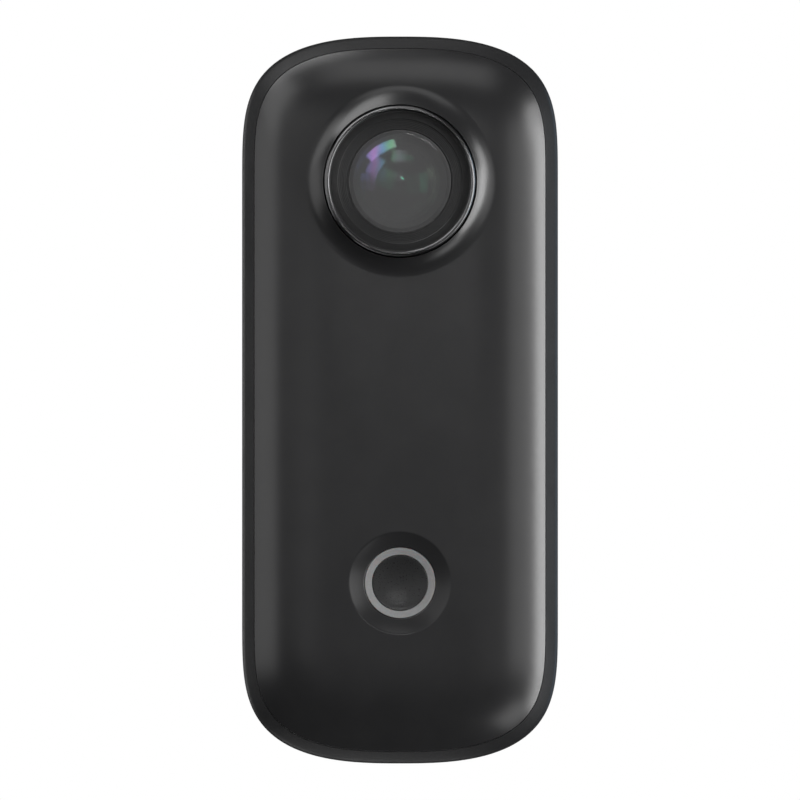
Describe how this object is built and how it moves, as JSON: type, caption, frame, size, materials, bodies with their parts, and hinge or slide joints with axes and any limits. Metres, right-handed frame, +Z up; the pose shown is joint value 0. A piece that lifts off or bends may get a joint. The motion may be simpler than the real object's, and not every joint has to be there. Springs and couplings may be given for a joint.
{
  "type": "action camera",
  "caption": "Thumb-sized action camera: pill-shaped body, raised front lens, dished shutter button with light ring, hinged port door and magnetic back.",
  "frame": {"origin": "middle of the flat magnetic back face, half way up the body", "axes": "+Z up the body towards the lens, -Y out of the lens, +X to the right as seen from in front of the lens"},
  "size_m": [0.0264, 0.018, 0.061],
  "materials": {
    "frame_plastic": "fine spark texture",
    "panel_gloss": "satin gloss",
    "cover_plastic": "fine spark texture",
    "seal_rubber": "matte",
    "screw_steel": "machined",
    "pad_rubber": "soft-touch matte",
    "plated_metal": "nickel plated",
    "bezel_metal": "black anodised, turned",
    "coated_glass": "anti-reflection coated",
    "lens_black": "matte black",
    "lens_glass": "coated optical glass",
    "filter_glass": "infrared cut coating",
    "sensor_die": "polished silicon",
    "board_green": "solder mask",
    "flex_amber": "polyimide film",
    "chip_black": "moulded epoxy",
    "thermal_pad": "soft matte",
    "battery_foil": "satin pouch foil",
    "lead_red": "silicone insulation",
    "led_white": "moulded",
    "ring_plastic": "translucent, frosted",
    "button_black": "satin",
    "door_rubber": "fine texture over a stiff core"
  },
  "bodies": {
    "camera_body": {"mid_frame": "frame_plastic", "front_cover": "panel_gloss", "back_cover": "cover_plastic", "front_gasket": "seal_rubber", "rear_gasket": "seal_rubber", "case_screws": "screw_steel", "magnet_pad": "pad_rubber", "back_magnets": "plated_metal", "keeper_plate": "screw_steel", "lens_bezel": "bezel_metal", "cover_glass": "coated_glass", "glass_seal": "seal_rubber", "lens_barrel": "lens_black", "front_element": "lens_glass", "middle_element": "lens_glass", "rear_element": "lens_glass", "element_spacers": "lens_black", "lens_holder": "lens_black", "ir_filter": "filter_glass", "image_sensor": "sensor_die", "sensor_board": "board_green", "sensor_flex": "flex_amber", "main_board": "board_green", "processor": "chip_black", "memory_chip": "chip_black", "shield_can": "plated_metal", "heat_pad": "thermal_pad", "power_chips": "chip_black", "board_screws": "screw_steel", "card_socket": "plated_metal", "usb_socket": "plated_metal", "battery_cell": "battery_foil", "battery_board": "board_green", "battery_leads": "lead_red", "battery_foam": "seal_rubber", "shutter_switch": "plated_metal", "shutter_seal": "seal_rubber", "ring_leds": "led_white", "side_switch": "plated_metal", "side_seal": "seal_rubber", "microphone": "plated_metal", "mic_mesh": "screw_steel", "speaker": "chip_black", "speaker_mesh": "screw_steel", "wifi_antenna": "flex_amber", "status_led": "led_white", "status_window": "ring_plastic", "door_pin": "screw_steel"},
    "shutter_key": {"shutter_button": "button_black", "light_ring": "ring_plastic"},
    "shutter_plunger": {"shutter_plunger": "led_white"},
    "side_key": {"side_button": "button_black"},
    "side_plunger": {"side_plunger": "led_white"},
    "port_door": {"port_door": "door_rubber", "door_gasket": "seal_rubber"},
    "memory_card": {"memory_card": "chip_black"}
  },
  "joints": [
    {"name": "shutter_press", "type": "slide", "parent": "camera_body", "child": "shutter_key", "axis": [0, 1, 0], "range_m": [0, 0.0003], "stiffness_N_per_m": 900},
    {"name": "shutter_switch_press", "type": "slide", "parent": "camera_body", "child": "shutter_plunger", "axis": [0, 1, 0], "range_m": [0, 0.0003]},
    {"name": "side_press", "type": "slide", "parent": "camera_body", "child": "side_key", "axis": [-1, 0, 0], "range_m": [0, 0.00025], "stiffness_N_per_m": 900},
    {"name": "side_switch_press", "type": "slide", "parent": "camera_body", "child": "side_plunger", "axis": [-1, 0, 0], "range_m": [0, 0.00025]},
    {"name": "door_hinge", "type": "hinge", "parent": "camera_body", "child": "port_door", "pos_m": [0, -0.0055, -0.0293], "axis": [1, 0, 0], "range_deg": [0, 90]},
    {"name": "card_eject", "type": "slide", "parent": "camera_body", "child": "memory_card", "axis": [0, 0, -1], "range_m": [-0.0003, 0.0015]}
  ],
  "couplings": [
    {"joint": "shutter_switch_press", "follows": "shutter_press", "ratio": 1},
    {"joint": "side_switch_press", "follows": "side_press", "ratio": 1}
  ]
}
